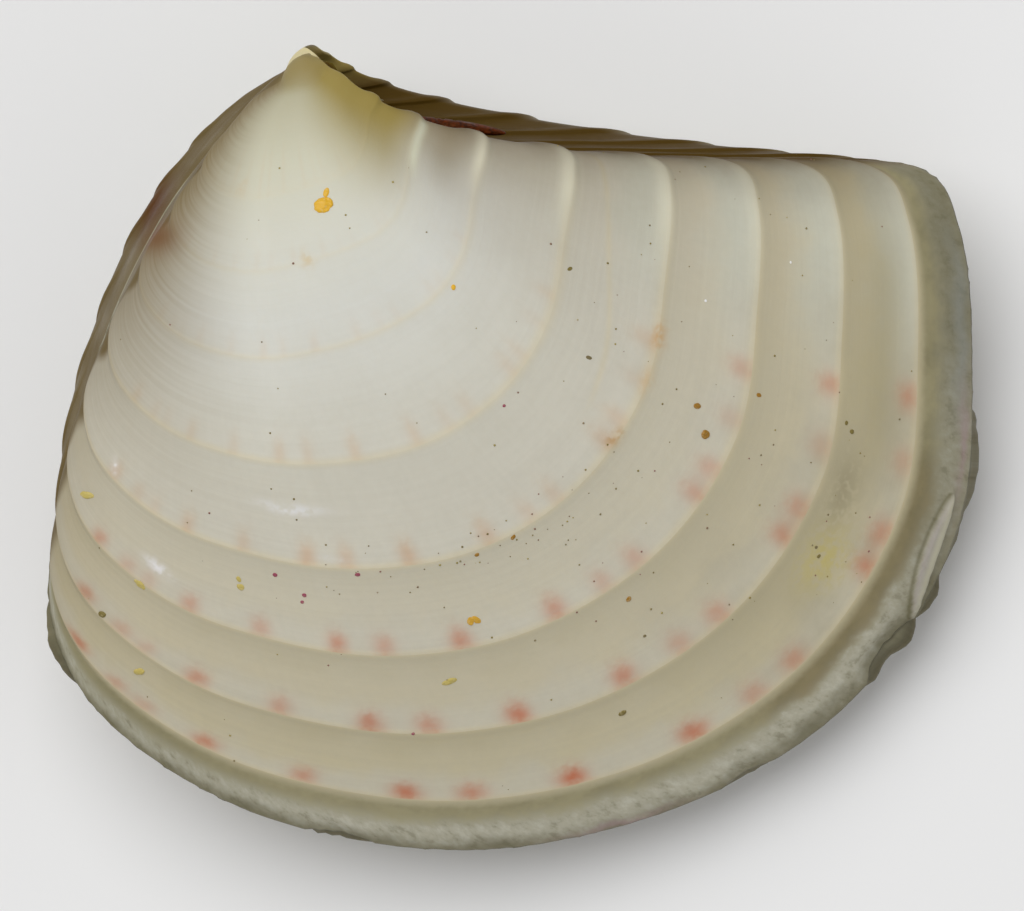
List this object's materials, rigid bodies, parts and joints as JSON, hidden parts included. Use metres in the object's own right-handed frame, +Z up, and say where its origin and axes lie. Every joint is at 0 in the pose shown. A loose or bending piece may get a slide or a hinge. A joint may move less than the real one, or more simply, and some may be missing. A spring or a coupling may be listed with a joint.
{
  "type": "clam shell",
  "caption": "Small closed clam shell with stepped growth ledges, lying on one valve, with a horny ligament in the groove behind its beaks.",
  "frame": {"origin": "on the floor under the middle of the resting shell", "axes": "+X to the rear end of the shell, +Y to its hinge side, +Z up out of the left valve, with the shell tipped as it lies on its right valve"},
  "size_m": [0.0202, 0.0176, 0.0092],
  "materials": {
    "left_valve_shell": "satin porcelain-like shell, cream white with pale growth bands and salmon spots",
    "right_valve_shell": "satin porcelain-like shell, cream white, browner on its hinge side",
    "ligament_horn": "dark red-brown horn, smooth and slightly glossy"
  },
  "bodies": {
    "root": {"left_valve": "left_valve_shell", "right_valve": "right_valve_shell", "ligament": "ligament_horn"}
  },
  "joints": []
}
